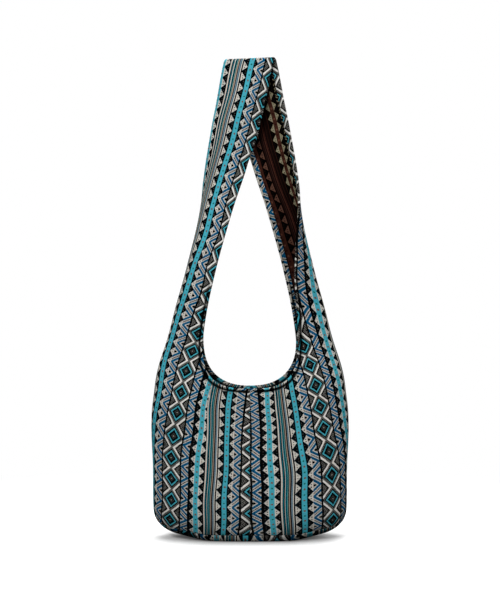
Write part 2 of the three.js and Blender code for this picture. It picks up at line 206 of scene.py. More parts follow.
    dash = node(tree, "Math.MULTIPLY", node(tree, "Math.LESS_THAN", level, HALF_DASH),
                node(tree, "Math.GREATER_THAN", off_line, DASH_FROM))
    zigzag = paint(zigzag, (in_line, dye["mid"]), (in_blue, dye["navy"]), (dash, dye["black"]))

    # Diamonds: a teal outline on black round a grey cross, in a lattice of thick pale lines. The girth is 0
    # in the middle of a diamond, a half on the lattice and 1 in the middle of the gap between diamonds.
    wide = node(tree, "Math.ABSOLUTE", node(tree, "Math.SUBTRACT", across, DIAMONDS))
    wide = node(tree, "Math.DIVIDE", wide, HALF_DIAMONDS)
    tall = node(tree, "Math.WRAP", node(tree, "Math.ADD", along, half), REPEAT_ALONG, 0)
    tall = node(tree, "Math.ABSOLUTE", node(tree, "Math.SUBTRACT", tall, half))
    tall = node(tree, "Math.DIVIDE", tall, half)
    girth = node(tree, "Math.MULTIPLY", node(tree, "Math.ADD", wide, tall), 0.5)
    girth_order = [(0, "mid"), (0.04, "black"), (0.09, "dot"), (0.135, "black"), (0.27, "teal"),
                   (0.35, "black"), (0.425, "grey"), (0.545, "pale"), (0.66, "black"), (0.75, "grey"),
                   (0.93, "black")]
    diamonds = node(tree, "ValToRGB", girth, stops=[(at, dye[key]) for at, key in girth_order])
    lean = node(tree, "Math.MULTIPLY", node(tree, "Math.SUBTRACT", wide, tall), HALF_DIAMONDS)
    fleck = node(tree, "Math.LESS_THAN", node(tree, "Math.WRAP", lean, FLECK_STEP, 0), FLECK_WIDTH)
    fleck = node(tree, "Math.MULTIPLY", fleck, within(girth, *FLECKED_GROUNDS))
    diamonds = paint(diamonds, (fleck, dye["brown"]),
                     (node(tree, "Math.GREATER_THAN", wide, DIAMONDS_WITHIN), dye["black"]))

    # The bands side by side, with black lines between them.
    in_zigzag = within(across, (ZIGZAG_LEFT, HALF_ZIGZAG), (ZIGZAG_RIGHT, HALF_ZIGZAG))
    in_triangles = within(across, (TRIANGLES_LEFT, HALF_TRIANGLES), (TRIANGLES_RIGHT, HALF_TRIANGLES))
    in_diamonds, in_lines = within(across, (DIAMONDS, HALF_DIAMONDS)), within(across, (LINES, HALF_LINES))
    cloth = paint(dye["black"], (in_diamonds, diamonds), (in_triangles, triangles), (in_zigzag, zigzag),
                  (in_lines, lines))

    # The weave: ribs twice as coarse as the threads so that they show, bumped and with painted shade in their
    # hollows, and yarn that is a little uneven. Painted shade darkens the cloth in a stitched groove and a
    # dart's crease, and painted shade from ambient occlusion darkens it deep in a fold.
    rib = 2 * np.pi / (2 * THREAD)
    ribs = node(tree, "Math.MULTIPLY", *(node(tree, "Math.SINE", node(tree, "Math.MULTIPLY", raw, rib))
                                         for raw in (raw_across, raw_along)))
    uneven = node(tree, "TexNoise", {"Vector": flat, "Scale": YARN_PER_MM, "Detail": YARN_DETAIL})
    shade = node(tree, "Math.MULTIPLY_ADD", uneven, SHADE_YARN, SHADE_LEAST)
    # Painted shade in the hollows between the ribs.
    shade = node(tree, "Math.MULTIPLY_ADD", ribs, SHADE_RIBS, shade)
    # Painted shade in a stitched groove and a dart's crease, from the attribute.
    shade = node(tree, "Math.MULTIPLY", shade, node(tree, "Math.MULTIPLY_ADD", painted_groove_shade, -GROOVE_SHADE, 1))
    # Painted shade from ambient occlusion, where cloth or floor lies close.
    unoccluded = node(tree, "AmbientOcclusion", {"Distance": PAINTED_OCCLUSION_REACH_M}, out="AO")
    shade = node(tree, "Math.MULTIPLY", shade, node(tree, "Math.POWER", unoccluded, painted_occlusion))
    cloth = node(tree, "VectorMath.SCALE", {0: cloth, "Scale": shade})
    bump = node(tree, "Bump", {"Strength": RIB_STRENGTH, "Distance": RIB_HEIGHT_M, "Height": ribs})
    shader = node(tree, "BsdfPrincipled", {"Base Color": cloth, "Roughness": 0.95, "Normal": bump,
                                           "Specular IOR Level": 0.0})
    node(tree, "OutputMaterial", shader)
    return material


right_side = jacquard("woven_jacquard", RIGHT_SIDE, PAINTED_OCCLUSION_RIGHT)
reverse_side = jacquard("woven_jacquard_reverse", REVERSE_SIDE, PAINTED_OCCLUSION_REVERSE)

# Sizes of the panels, as in the CAD model, apart from the gap at the seams, which is all but closed here.
BAG_WIDTH, FOOT_WIDTH, MOUTH_LEVEL_WIDTH, SHOULDER_WIDTH = 314, 307, 306, 267
FOOT_DEPTH, BELLY_DEPTH, MOUTH_DEPTH = 107, 88, 81
BELLY_BELOW_MOUTH = 43
CORNER_RISE, CORNER_INSET, FOOT_TUCK = 48, 52, 11
MOUTH_HEIGHT, MOUTH_WIDTH, RIM_RISE = 240, 150, 75
FRONT_SQUARENESS, BACK_SQUARENESS = 3, 2.4
HEIGHT, STRAP_WIDTH, FLARE_LENGTH, FOLD_RADIUS = 766, 77, 160, 5
STRAP_FOOT_OUT, STRAP_FOOT_RISE, STRAP_BULGE = 99, 50, 4
STRAP_TWIST = np.radians(76)
TWIST_FROM, TWIST_TO, FORWARD_FROM = -0.067, 0.9, 0.37
CLOTH, ALLOWANCE, SEAM_GAP = 1.8, 10, 0.02
BASE_SEAM_FRONT, BASE_SEAM_SIDE = 10, 22
SHOULDER_ROUND, SPAN_PER_ROUND = 28.5, 0.42

SHOULDER_HEIGHT = MOUTH_HEIGHT + RIM_RISE
FOLD_START = HEIGHT - FOLD_RADIUS
TOP = FOLD_START + FOLD_RADIUS * np.pi / 2
STRAP_LEAN = STRAP_FOOT_OUT / (TOP - SHOULDER_HEIGHT - STRAP_FOOT_RISE)
GAUSS_POINTS, HALVINGS, LEVEL_COUNT = 24, 45, 800
GAUSS, GAUSS_WEIGHT = np.polynomial.legendre.leggauss(GAUSS_POINTS)
GAUSS, GAUSS_WEIGHT = (GAUSS + 1) / 2, GAUSS_WEIGHT / 2


def smooth(x):
    """0 below 0, 1 above 1, and an even S between."""
    x = np.clip(x, 0, 1)
    return x * x * (3 - 2 * x)


def eased(value, start, *moves):
    """A start and the moves added to it. A move is an amount, where it begins and where it is complete, with
    an even S between the two."""
    return start + sum(amount * smooth((value - begin) / (end - begin)) for amount, begin, end in moves)


def hump(x, half):
    """1 at 0, falling off either side as e to the power of minus the square of x over half."""
    return np.exp(-(x / half) ** 2)


def bend(x):
    """How much of its full turn a section has made at x rounds from its middle: x over root of 1 plus x
    squared."""
    return x / np.hypot(1, x)


def section_run(span, round_, turn):
    """How far a level section has come in and gone across at a distance along the cloth: the integrals of the
    sine and cosine of its direction, which is the turn times bend(distance / round)."""
    direction = turn[..., None] * bend(span[..., None] * GAUSS / round_[..., None])
    return span * (np.sin(direction) @ GAUSS_WEIGHT), span * (np.cos(direction) @ GAUSS_WEIGHT)


def root_of_falling(f, low, high):
    """Where a falling function of an array is zero, by halving the interval."""
    for _ in range(HALVINGS):
        middle = (low + high) / 2
        above = f(middle) > 0
        low, high = np.where(above, middle, low), np.where(above, high, middle)
    return (low + high) / 2


def square_turn(reach, round_):
    """The turn with which a body section runs square into the centre seam."""
    return np.pi / 2 / bend(reach / round_ + SPAN_PER_ROUND)


def middle_out(span, round_, turn):
    """How far a section's middle stands out from its centre: the mean of how far the section comes in."""
    part = span[..., None] * GAUSS
    same = np.ones_like(part)
    return section_run(part, round_[..., None] * same, turn[..., None] * same)[0] @ GAUSS_WEIGHT


body_heights = np.array([CORNER_RISE, MOUTH_HEIGHT - BELLY_BELOW_MOUTH, MOUTH_HEIGHT, SHOULDER_HEIGHT])
body_reach = np.array([FOOT_WIDTH, BAG_WIDTH, MOUTH_LEVEL_WIDTH, SHOULDER_WIDTH]) / 2
half_depth = np.array([FOOT_DEPTH, BELLY_DEPTH, MOUTH_DEPTH]) / 2
wide_reach = body_reach[:3]
wide_round = root_of_falling(
    lambda r: half_depth - section_run(wide_reach + SPAN_PER_ROUND * r, r, square_turn(wide_reach, r))[1],
    np.ones(3), wide_reach)
body_round = np.append(wide_round, SHOULDER_ROUND)
body_turn = square_turn(body_reach, body_round)
shoulder_span = root_of_falling(
    lambda s: body_reach[3:] - section_run(s, body_round[3:], body_turn[3:])[0] - MOUTH_WIDTH / 2,
    np.zeros(1), np.full(1, float(BAG_WIDTH)))[0]


def strap_span(height):
    """Half the width of the cloth above the shoulder: half a strap, and a flare that dies away upwards."""
    flare = np.exp((SHOULDER_HEIGHT - height) / FLARE_LENGTH)
    return STRAP_WIDTH / 2 + (shoulder_span - STRAP_WIDTH / 2) * flare


def along_strap(share):
    """The height at a share of the way from the shoulder to the fold at the top."""
    return SHOULDER_HEIGHT + share * (FOLD_START - SHOULDER_HEIGHT)


# Stations up the strap, as shares of the way, with the section's round, turn and bulge at each.
strap_heights = along_strap(np.array([0.19, 0.33, 0.48, 0.62, 0.83, 1]))
strap_round = np.array([29.0, 29, 34, 40, 43, 46])
strap_turn = np.radians([84.0, 76, 64, 55, 44, 0])
strap_bulge = STRAP_BULGE * np.array([0.5, 1, 1, 0, 0, 0])
strap_reach = (STRAP_LEAN * (TOP - strap_heights) + strap_bulge
               + middle_out(strap_span(strap_heights), strap_round, strap_turn))
STATION_HEIGHTS = np.append(body_heights, strap_heights)
STATION_REACH = np.append(body_reach, strap_reach)
STATION_ROUND = np.append(body_round, strap_round)
STATION_TURN = np.append(body_turn, strap_turn)


def follow(values, height):
    """A smooth curve through the stations that never overshoots them: cubic pieces whose slopes at the
    stations are weighted harmonic means of the slopes either side."""
    gap = np.diff(STATION_HEIGHTS)
    slope = np.diff(values) / gap
    before, after = slope[:-1], slope[1:]
    weight_before, weight_after = 2 * gap[1:] + gap[:-1], gap[1:] + 2 * gap[:-1]
    monotone = before * after > 0
    mean = (weight_before + weight_after) / (weight_before / np.where(monotone, before, 1)
                                             + weight_after / np.where(monotone, after, 1))
    tangent = np.concatenate([slope[:1], np.where(monotone, mean, 0), slope[-1:]])
    i = np.clip(np.searchsorted(STATION_HEIGHTS, height, side="right") - 1, 0, len(gap) - 1)
    t = np.clip((height - STATION_HEIGHTS[i]) / gap[i], 0, 1)
    return (values[i] + (values[i + 1] - values[i]) * t * t * (3 - 2 * t)
            + t * (1 - t) * gap[i] * ((1 - t) * tangent[i] - t * tangent[i + 1]))


def corner_at(height):
    """1 at the floor, falling along a quarter circle to 0 where the bottom corners end."""
    return 1 - np.sqrt(1 - np.clip(1 - height / CORNER_RISE, 0, 1) ** 2)


def section_at(height):
    """Reach, round and turn of the section at a height. Near the floor the corners come in."""
    corner = corner_at(height)
    return (follow(STATION_REACH, height) - CORNER_INSET * corner,
            follow(STATION_ROUND, height) - FOOT_TUCK * corner, follow(STATION_TURN, height))


def span_to(distance, height):
    """Half the width of the cloth where the section comes in to a distance from the middle of the bag."""
    reach, round_, turn = section_at(height)
    return root_of_falling(lambda s: reach - section_run(s, round_, turn)[0] - distance,
                           np.zeros_like(height), np.full_like(height, float(BAG_WIDTH)))


LEVELS = np.linspace(0, FOLD_START, LEVEL_COUNT)
LEVEL_CENTRES = middle_out(strap_span(np.maximum(LEVELS, SHOULDER_HEIGHT)), *section_at(LEVELS)[1:])


def place(span, along):
    """A point of the left panel: the level section, turned about its centre by the strap's twist, which grows
    from the shoulder up, and carried over a round fold at the top. span is negative to the front."""
    height = np.minimum(along, FOLD_START)
    reach, round_, turn = section_at(height)
    centre = np.interp(height, LEVELS, LEVEL_CENTRES)
    inward, sideways = section_run(np.abs(span), round_, turn)
    local_x, local_y = inward - centre, np.sign(span) * sideways
    twist = eased(height, 0, (STRAP_TWIST, along_strap(TWIST_FROM), along_strap(TWIST_TO)))
    over = (along - height) / FOLD_RADIUS
    forward = eased(height, 0, (FOLD_RADIUS, along_strap(FORWARD_FROM), FOLD_START)) * np.cos(over)
    x = (centre - reach + local_x * np.cos(twist) - local_y * np.sin(twist)
         + STRAP_LEAN * (along - height) - forward * np.cos(twist))
    y = local_x * np.sin(twist) + local_y * np.cos(twist) - forward * np.sin(twist)
    return np.stack([x, y, height + FOLD_RADIUS * np.sin(over)], -1)


END_LIFT, LIFT_FROM, LIFT_TO, LIFT_DIES = 5.5, 60, 115, 26


def lifted(points):
    """The empty bag's two ends stand a little off the floor: a rise that grows outwards in an even S and dies
    away upwards."""
    rise = eased(np.abs(points[..., 0]), 0, (END_LIFT, LIFT_FROM, LIFT_TO))
    return points + (rise * np.clip(1 - points[..., 2] / LIFT_DIES, 0, 1))[..., None] * [0, 0, 1]


# The grid of a panel: rows up the centre seam, the mouth and the strap, columns in each half, closer steps
# across the turned-in edge, and the moves by which the strap's edges are wider part of the way up.
SEAM_ROWS, RIM_ROWS, STRAP_ROWS, HALF_COLUMNS = 76, 52, 118, 56
EDGE_STEPS = np.array([0, 0.2, 0.7, 1.4, 2.3, 3.1, 3.8, 4.4, 5.0, 5.6, 6.4, 7.8, 9.6, 10.3, 12.5])
RIM_CROWDING, COLUMN_CROWDING, LOW_FRONT, LOW_FRONT_FADE = 1.5, 1.3, 0.6, 3
MITRE = 2 * ALLOWANCE
FRONT_EDGE_EXTRA, BACK_EDGE_EXTRA = ((5, 592, 645), (-5, 660, 790)), ((6, 340, 430), (-6, 520, 650))


def edge_line(squareness, strap_extra):
    """One edge of a panel from the base seam to the top: up the centre seam, round the mouth on a quarter of
    a superellipse, and up the strap. Gives the span, the height and how far below level the cloth's inside
    lies from there, its own direction and one that is mitred near the corner between seam and mouth."""
    wall = MOUTH_HEIGHT - BASE_SEAM_FRONT
    rises = np.append(EDGE_STEPS, EDGE_STEPS[-1] + (wall - EDGE_STEPS[-1])
                      * np.linspace(0, 1, SEAM_ROWS)[1:])
    rises[0] = SEAM_GAP / 2
    seam_along = BASE_SEAM_FRONT + rises
    seam_span = span_to(np.full_like(seam_along, SEAM_GAP / 2), seam_along)
    seam_tilt = np.pi / 4 * np.maximum(0, 1 - (MOUTH_HEIGHT - seam_along) / MITRE)

    angle = np.pi / 2 * np.linspace(0, 1, RIM_ROWS + 1)[1:] ** RIM_CROWDING
    power = 2 / squareness
    gap = np.maximum(SEAM_GAP / 2, MOUTH_WIDTH / 2 * np.sin(angle) ** power)
    rim_along = MOUTH_HEIGHT + RIM_RISE * (1 - np.maximum(np.cos(angle), 0) ** power)
    rim_span = span_to(gap, rim_along)
    whole_span = np.append(seam_span[-1], rim_span)
    whole_along = np.append(seam_along[-1], rim_along)
    own = np.arctan2(-np.gradient(whole_span), np.gradient(whole_along))[1:]
    rim_tilt = np.pi / 4 + (own - np.pi / 4) * np.minimum(1, gap / MITRE)

    strap_along = np.linspace(SHOULDER_HEIGHT, TOP - EDGE_STEPS[-1], STRAP_ROWS + 1)[1:]
    strap_along = np.append(strap_along, TOP - EDGE_STEPS[-2:0:-1])
    strap_along = np.append(strap_along, TOP - SEAM_GAP / 2)
    strap_edge = strap_span(strap_along) + eased(strap_along, 0, *strap_extra)
    level = np.zeros_like(strap_along)
    fade = own[-1] * np.maximum(0, 1 - (strap_along - SHOULDER_HEIGHT) / MITRE)
    return (np.concatenate([seam_span, rim_span, strap_edge]),
            np.concatenate([seam_along, rim_along, strap_along]),
            np.concatenate([np.zeros_like(seam_along), own, level]),
            np.concatenate([seam_tilt, rim_tilt, fade]))


def half_grid(edge, middle, share):
    """Span and height on a grid from an edge to the middle line: steps across the allowance, then columns
    that crowd towards the middle and level out there. At a share of 0, the base seam, they stay low round the
    front and climb to the side in an even S."""
    span, along, own, tilt = (value[:, None] for value in edge)
    inset = EDGE_STEPS / np.cos(own - tilt)
    steps_span, steps_along = span - inset * np.cos(tilt), along - inset * np.sin(tilt)
    left = (1 - np.linspace(0, 1, HALF_COLUMNS + 1)[1:]) ** COLUMN_CROWDING
    columns_span = steps_span[:, -1:] * left
    low = (smooth(left / LOW_FRONT) - smooth(left)) * (1 - share[:, None]) ** LOW_FRONT_FADE
    columns_along = middle[:, None] + (steps_along[:, -1:] - middle[:, None]) * (smooth(left) + low)
    return np.hstack([steps_span, columns_span]), np.hstack([steps_along, columns_along])


def carry(span, places, marks):
    """The cloth's coordinate across its bands: straight lines between the places where a band's middle lies,
    and on past the last ones at the same rate."""
    coordinate = marks[0] + (span - places[0]) * (marks[1] - marks[0]) / (places[1] - places[0])
    for i in range(1, len(marks) - 1):
        piece = marks[i] + (span - places[i]) * (marks[i + 1] - marks[i]) / (places[i + 1] - places[i])
        coordinate = np.where(span > places[i], piece, coordinate)
    return coordinate


SAG, SAG_ROUND, SAG_REACH = 50, 40, 175
STRAP_WEFT_LOW, STRAP_WEFT_SLOPE = 11.8, 0.29
GATHER_FROM, GATHER_OVER, GATHER_MOST, GATHER_MOVE = 150, 80, 1.2, (1, 106, 140)


def weft_drop(span, diamonds, along):
    """How far a cross thread lies below where it crosses the band of diamonds. On the body it sags from the
    sides to the middle of the front, as a square of the distance; on the strap it lies straight across the
    leaning strap."""
    at_diamonds, here = (SAG * (1 - np.hypot(at, SAG_ROUND) / SAG_REACH) ** 2 for at in (diamonds, span))
    body = at_diamonds - here
    strap = -STRAP_WEFT_LOW - STRAP_WEFT_SLOPE * span
    return body + (strap - body) * eased(along, 0, (1, 300, 420))


def gathered(toward_front, along):
    """How much the cloth is gathered up below the mouth: more and more upwards, only near the middle of the
    front."""
    upward = np.clip((along - GATHER_FROM) / GATHER_OVER, 0, GATHER_MOST)
    return upward * eased(toward_front, 0, GATHER_MOVE)


def cells(grid):
    """The four corners of every cell of a grid of point numbers."""
    return np.stack([grid[:-1, :-1], grid[1:, :-1], grid[1:, 1:], grid[:-1, 1:]], -1).reshape(-1, 4)


def cloth_piece(name, points, faces, flat, wrong_side):
    """A mesh of cloth with its flat coordinates at the corners of the faces, and the reverse of the weave on
    the faces of its wrong side."""
    mesh = bpy.data.meshes.new(name)
    mesh.from_pydata(lifted(points) / 1000, [], faces)
    mesh.uv_layers.new(name="cloth").data.foreach_set("uv", flat.ravel() / 1000)
    mesh.materials.append(right_side)
    mesh.materials.append(reverse_side)
    mesh.polygons.foreach_set("material_index", wrong_side)
    mesh.polygons.foreach_set("use_smooth", np.ones(len(faces), bool))
    mesh.update()
    piece = bpy.data.objects.new(name, mesh)
    bpy.context.scene.collection.objects.link(piece)
    return piece


# Sewing: the hem's roll, its stitched groove, the pull of the seams, the darts' creases, each with its depth,
# its place in from the edge and its half width, the painted shade in the groove and the creases with its
# strength and half width, and the dents in the empty body.
ROLL, ROLL_AT, ROLL_HALF, ROLL_ENDS, ROLL_FADE = 1.4, 2.2, 1.7, along_strap(0.25), 60
GROOVE, GROOVE_AT, GROOVE_HALF, GROOVE_PAINTED_SHADE, GROOVE_PAINTED_SHADE_HALF = 3.4, 5, 1.2, 1.3, 1.7
SEAM_PULL, SEAM_PULL_HALF = 0.7, 5
CREASE, CREASE_HALF, CREASE_PAINTED_SHADE, CREASE_PAINTED_SHADE_HALF = 1.5, 2.2, 0.5, 1.1
DART_MOVE = (1, 178, 238)
BODY_DENT, SHOULDER_DENT, SHOULDER_DENT_AT, SHOULDER_DENT_HALF = 1.2, 0.7, 330, 70
NO_EDGE = 99.0
NORMAL_STEP = 0.5
HALF_TURN = [-1, -1, 1]


def panel(name, front_squareness, back_squareness, cloth_at, dart_at, half_turned):
    """A closed sheet of cloth: the outside as a grid, the inside as the same grid moved in by the cloth's
    thickness, or by two where an allowance is turned in, and both rounded together at the edge."""
    front, back = edge_line(front_squareness, FRONT_EDGE_EXTRA), edge_line(back_squareness, BACK_EDGE_EXTRA)
    seam_count = len(EDGE_STEPS) + SEAM_ROWS - 1
    rise = (front[1][:seam_count] - BASE_SEAM_FRONT) / (MOUTH_HEIGHT - BASE_SEAM_FRONT)
    middle = np.concatenate([
        BASE_SEAM_SIDE + rise * (MOUTH_HEIGHT - BASE_SEAM_SIDE),
        MOUTH_HEIGHT + RIM_RISE * np.linspace(0, 1, RIM_ROWS + 1)[1:],
        front[1][seam_count + RIM_ROWS:]])
    share = np.append(rise, np.ones(len(middle) - seam_count))
    front_span, front_along = half_grid(front, middle, share)
    back_span, back_along = half_grid(back, middle, share)
    span = np.hstack([-front_span, back_span[:, -2::-1]])
    along = np.hstack([front_along, back_along[:, -2::-1]])
    rows, columns = span.shape

    # How far each column and row lies inside the nearest edge, and how the sheet is rounded there.
    half_inset = np.append(EDGE_STEPS, np.full(HALF_COLUMNS, NO_EDGE))
    column_inset = np.append(half_inset, half_inset[-2::-1])
    row_inset = np.full(rows, NO_EDGE)
    row_inset[:len(EDGE_STEPS)] = EDGE_STEPS
    row_inset[-len(EDGE_STEPS):] = EDGE_STEPS[::-1]
    inset = np.minimum(column_inset[None, :], row_inset[:, None])
    doubled = inset < ALLOWANCE
    sunk = CLOTH - np.sqrt(CLOTH ** 2 - np.maximum(CLOTH - inset, 0) ** 2)

    # Soft form of the sewn cloth: the mouth's hem is a narrow roll over a stitched groove, the darts are
    # short creases under it, the seams pull in a little, and crossing waves make shallow dents in the body.
    on_seam = np.arange(rows) < seam_count
    roll = np.where(on_seam, 0, eased(front[1], 0, (1, ROLL_ENDS, ROLL_ENDS - ROLL_FADE)))[:, None]
    puff = roll * (ROLL * hump(column_inset - ROLL_AT, ROLL_HALF)
                   - GROOVE * hump(column_inset - GROOVE_AT, GROOVE_HALF))
    puff = puff - SEAM_PULL * on_seam[:, None] * hump(column_inset, SEAM_PULL_HALF)
    past_dart, taken_in = dart_at(span, along)
    under_rim = eased(along, 0, DART_MOVE)
    puff = puff - CREASE * hump(past_dart, CREASE_HALF) * under_rim
    # Painted shade in the stitched groove and along the dart's crease, kept for the material in the
    # attribute's first part.
    painted_groove_shade = (GROOVE_PAINTED_SHADE * hump(column_inset - GROOVE_AT, GROOVE_PAINTED_SHADE_HALF) * roll
                + CREASE_PAINTED_SHADE * hump(past_dart, CREASE_PAINTED_SHADE_HALF) * under_rim)
    dart_and_groove_shade = np.stack([np.minimum(1, painted_groove_shade), past_dart, taken_in], -1)
    dents = (BODY_DENT * np.sin(span / 23 + along / 41) * np.sin(along / 33 - span / 61)
             * eased(along, 0, (1, 330, 240)))
    dents = dents + (SHOULDER_DENT * np.sin(along / 19 + span / 13)
                     * hump(along - SHOULDER_DENT_AT, SHOULDER_DENT_HALF))
    puff = puff + dents * smooth(inset / EDGE_STEPS[-1])

    base = place(span, along)
    normal = np.cross(place(span, along + NORMAL_STEP) - place(span, along - NORMAL_STEP),
                      place(span + NORMAL_STEP, along) - place(span - NORMAL_STEP, along))
    normal = normal / np.linalg.norm(normal, axis=-1, keepdims=True)
    outside = base + normal * (puff - sunk)[..., None]
    thickness = np.where(doubled, 2 * CLOTH, CLOTH)
    inside = base + normal * (puff - thickness + sunk)[..., None]
    if half_turned:
        outside, inside = outside * HALF_TURN, inside * HALF_TURN

    # The grid's rim belongs to both faces of the sheet, so the inside uses the outside's points there.
    number = np.arange(rows * columns).reshape(rows, columns)
    inner = number.copy()
    inner[1:-1, 1:-1] = rows * columns + np.arange((rows - 2) * (columns - 2)).reshape(rows - 2, columns - 2)
    quads = cells(number)
    faces = np.vstack([quads, cells(inner)[:, ::-1]])
    points = np.vstack([outside.reshape(-1, 3), inside[1:-1, 1:-1].reshape(-1, 3)])

    # Flat coordinates of the cloth. A turned-in allowance carries on past the edge, so it mirrors the cloth
    # there and shows its right side.
    across, lengthwise = cloth_at(span, along)
    edge_across = np.where(np.arange(columns)[None, :] < columns // 2, across[:, :1], across[:, -1:])
    in_columns = column_inset[None, :] < ALLOWANCE
    turned_across = np.where(in_columns, 2 * edge_across - across, across)
    edge_along = np.where(np.arange(rows)[:, None] < rows // 2, lengthwise[:1], lengthwise[-1:])
    in_rows = row_inset[:, None] < ALLOWANCE
    turned_along = np.where(in_rows & ~in_columns, 2 * edge_along - lengthwise, lengthwise)
    flat = np.stack([across, lengthwise], -1).reshape(-1, 2)
    turned = np.stack([turned_across, turned_along], -1).reshape(-1, 2)
    allowance = doubled.reshape(-1)[quads].all(1)
    inner_flat = np.where(allowance[:, None, None], turned[quads], flat[quads])[:, ::-1]
    wrong_side = np.append(np.zeros(len(quads), int), np.where(allowance, 0, 1))

    piece = cloth_piece(name, points, faces, np.vstack([flat[quads], inner_flat]), wrong_side)
    piece.data.attributes.new("dart_and_groove_shade", "FLOAT_VECTOR", "POINT").data.foreach_set(
        "vector", np.append(dart_and_groove_shade, dart_and_groove_shade[1:-1, 1:-1]))
    return piece


CORNER_SPREAD, CORNER_SOFT = 1.25, 30


def round_corner(span, along):
    """The span as it would be without the bottom corner, so that the bands run straight down to the base
    seam."""
    return span + CORNER_SPREAD * CORNER_INSET * corner_at(along) * span / np.hypot(span, CORNER_SOFT)


def wander(span, along):
    """How far a lengthwise thread strays sideways: two slow waves."""
    return 0.5 * np.sin(along / 13 + span / 37) + 0.4 * np.sin(along / 29 - span / 19)


# Where the bands of the left panel lie, in front of the middle of its side, and how far apart.
DART_BEFORE_STRIPE, BACK_STRIPE_APART = 32.5, 49
LEFT_SEAM_SPAN, SEAM_STRETCH, LEFT_GATHER = 176.0, 0.7, 25


def left_front_stripes(along):
    """How far in front of the side's middle the two teal stripes of the left panel's front lie."""
    return eased(along, 91, (10, 60, 230), (3, 205, 255)), eased(along, 136, (4, 60, 160))


def left_dart(span, along):
    """How far past the dart a place is, and what the dart takes in: it lies along the fine lines' left edge
    and swallows the triangles between there and the stripe, more and more of them upwards."""
    left_stripe, right_stripe = left_front_stripes(along)
    dart = right_stripe - DART_BEFORE_STRIPE
    return -span - dart, LINES - HALF_LINES - TRIANGLES_LEFT - (dart - left_stripe)


def left_cloth(span, along):
    """Where the cloth lies on the left panel: its middle is near a teal stripe, which drifts to the front
    lower down. Lengthwise it is counted in diamonds from the lowest whole one."""
    toward_front = -round_corner(span, along)
    stripe = eased(along, 8, (9, 580, 480), (5, 300, 240), (-14, 230, 120), (-4, 80, 20))
    on_body = eased(along, 0, (1, 360, 300))
    on_front = eased(along, 51, (10, 130, 220), (-4, 80, 20))
    on_strap = stripe + eased(along, 44, (-9, 380, 440))
    diamonds = on_strap * (1 - on_body) + on_front * on_body
    left_stripe, right_stripe = left_front_stripes(along)
    taken_in = left_dart(span, along)[1]
    dart = right_stripe - DART_BEFORE_STRIPE
    to_seam = eased(along, 43.85, (-6, 60, 240))
    to_next_diamonds = REPEAT_ACROSS + DIAMONDS - HALF_DIAMONDS - TRIANGLES_RIGHT
    next_diamonds = right_stripe + (LEFT_SEAM_SPAN - right_stripe) * to_next_diamonds / to_seam
    places = [stripe - BACK_STRIPE_APART, stripe, diamonds, left_stripe, dart, right_stripe, next_diamonds,
              np.full_like(span, LEFT_SEAM_SPAN)]
    past = TRIANGLES_RIGHT - taken_in
    marks = [TRIANGLES_LEFT - REPEAT_ACROSS, TRIANGLES_RIGHT - REPEAT_ACROSS, DIAMONDS, TRIANGLES_LEFT,
             TRIANGLES_LEFT + dart - left_stripe, past, past + to_next_diamonds,
             past + to_next_diamonds + SEAM_STRETCH * (to_seam - to_next_diamonds)]
    heights = [0, 31.9, 64.6, 98.3, 130.4, 164.6, 201.6, 233.2, 266.9, 298, 326.2, 357, 459, 731, 780]
    repeats = [-0.9, 0, 1, 2, 3, 4, 5, 6, 7, 8, 9, 10, 13, 21, 22.44]
    lengthwise = (REPEAT_ALONG * np.interp(along, heights, repeats) + weft_drop(span, diamonds, along)
                  + LEFT_GATHER * gathered(toward_front, along))
    return carry(toward_front, places, marks) + wander(span, along), lengthwise


left_panel = panel("left_panel_cloth", FRONT_SQUARENESS, BACK_SQUARENESS, left_cloth, left_dart, False)
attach(left_panel, "root")
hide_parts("left_panel")

# Right panel. The same cut from another place across the cloth, sewn to the left one at the front, the back
# and the top of the strap. It stands half a turn round from the left one, so its front is that one's back.
RIGHT_DART, RIGHT_SEAM_SPAN, RIGHT_SEAM_MARK, RIGHT_GATHER = 130, 175.0, 35.5, 17
BACK_EDGE_APART, BACK_EDGE_MARK = 59.843, 56.5
STRAP_STRIPE, DIAMONDS_APART = 14, 42.5
FRONT_LAG, LAG_FROM, LAG_REACH = 0.098, 147, 90


def right_dart(span, along):
    """How far past the dart a place is: it lies in the fine lines and takes in next to nothing."""
    return span - RIGHT_DART, 0 * along


